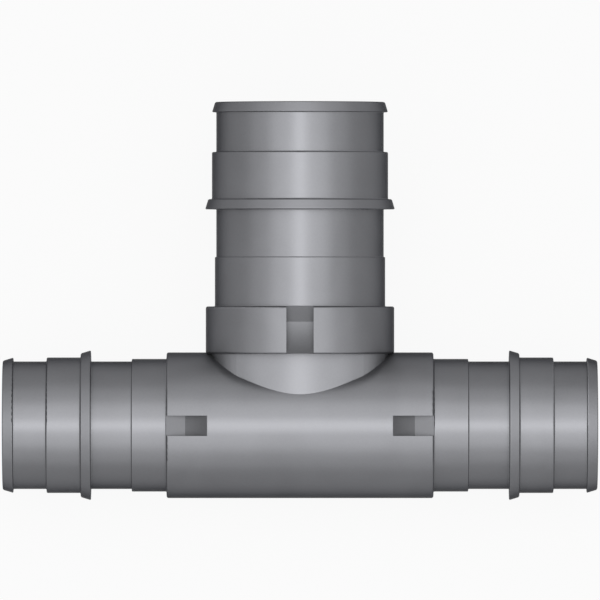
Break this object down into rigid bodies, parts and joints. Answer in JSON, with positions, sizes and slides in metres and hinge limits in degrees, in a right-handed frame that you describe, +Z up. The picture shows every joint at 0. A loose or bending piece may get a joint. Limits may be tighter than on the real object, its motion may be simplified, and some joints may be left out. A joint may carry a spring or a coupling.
{
  "type": "pex reducing tee",
  "caption": "One-piece moulded reducing tee for cold expansion tube: ribbed insert at each end of a straight run, and a larger ribbed branch that stands on a collar and a short neck.",
  "frame": {"origin": "the crossing of the run's and the branch's centre lines", "axes": "+X along the run; +Z up as the part lies at rest; the branch points to +Y and 13.38 degrees up, because the part lies on the two rims of the run and on the foot of the collar"},
  "size_m": [0.082, 0.0564, 0.0321],
  "materials": {
    "moulded_plastic": "satin grey engineering plastic, as moulded"
  },
  "bodies": {
    "root": {"tee": "moulded_plastic"}
  },
  "joints": []
}
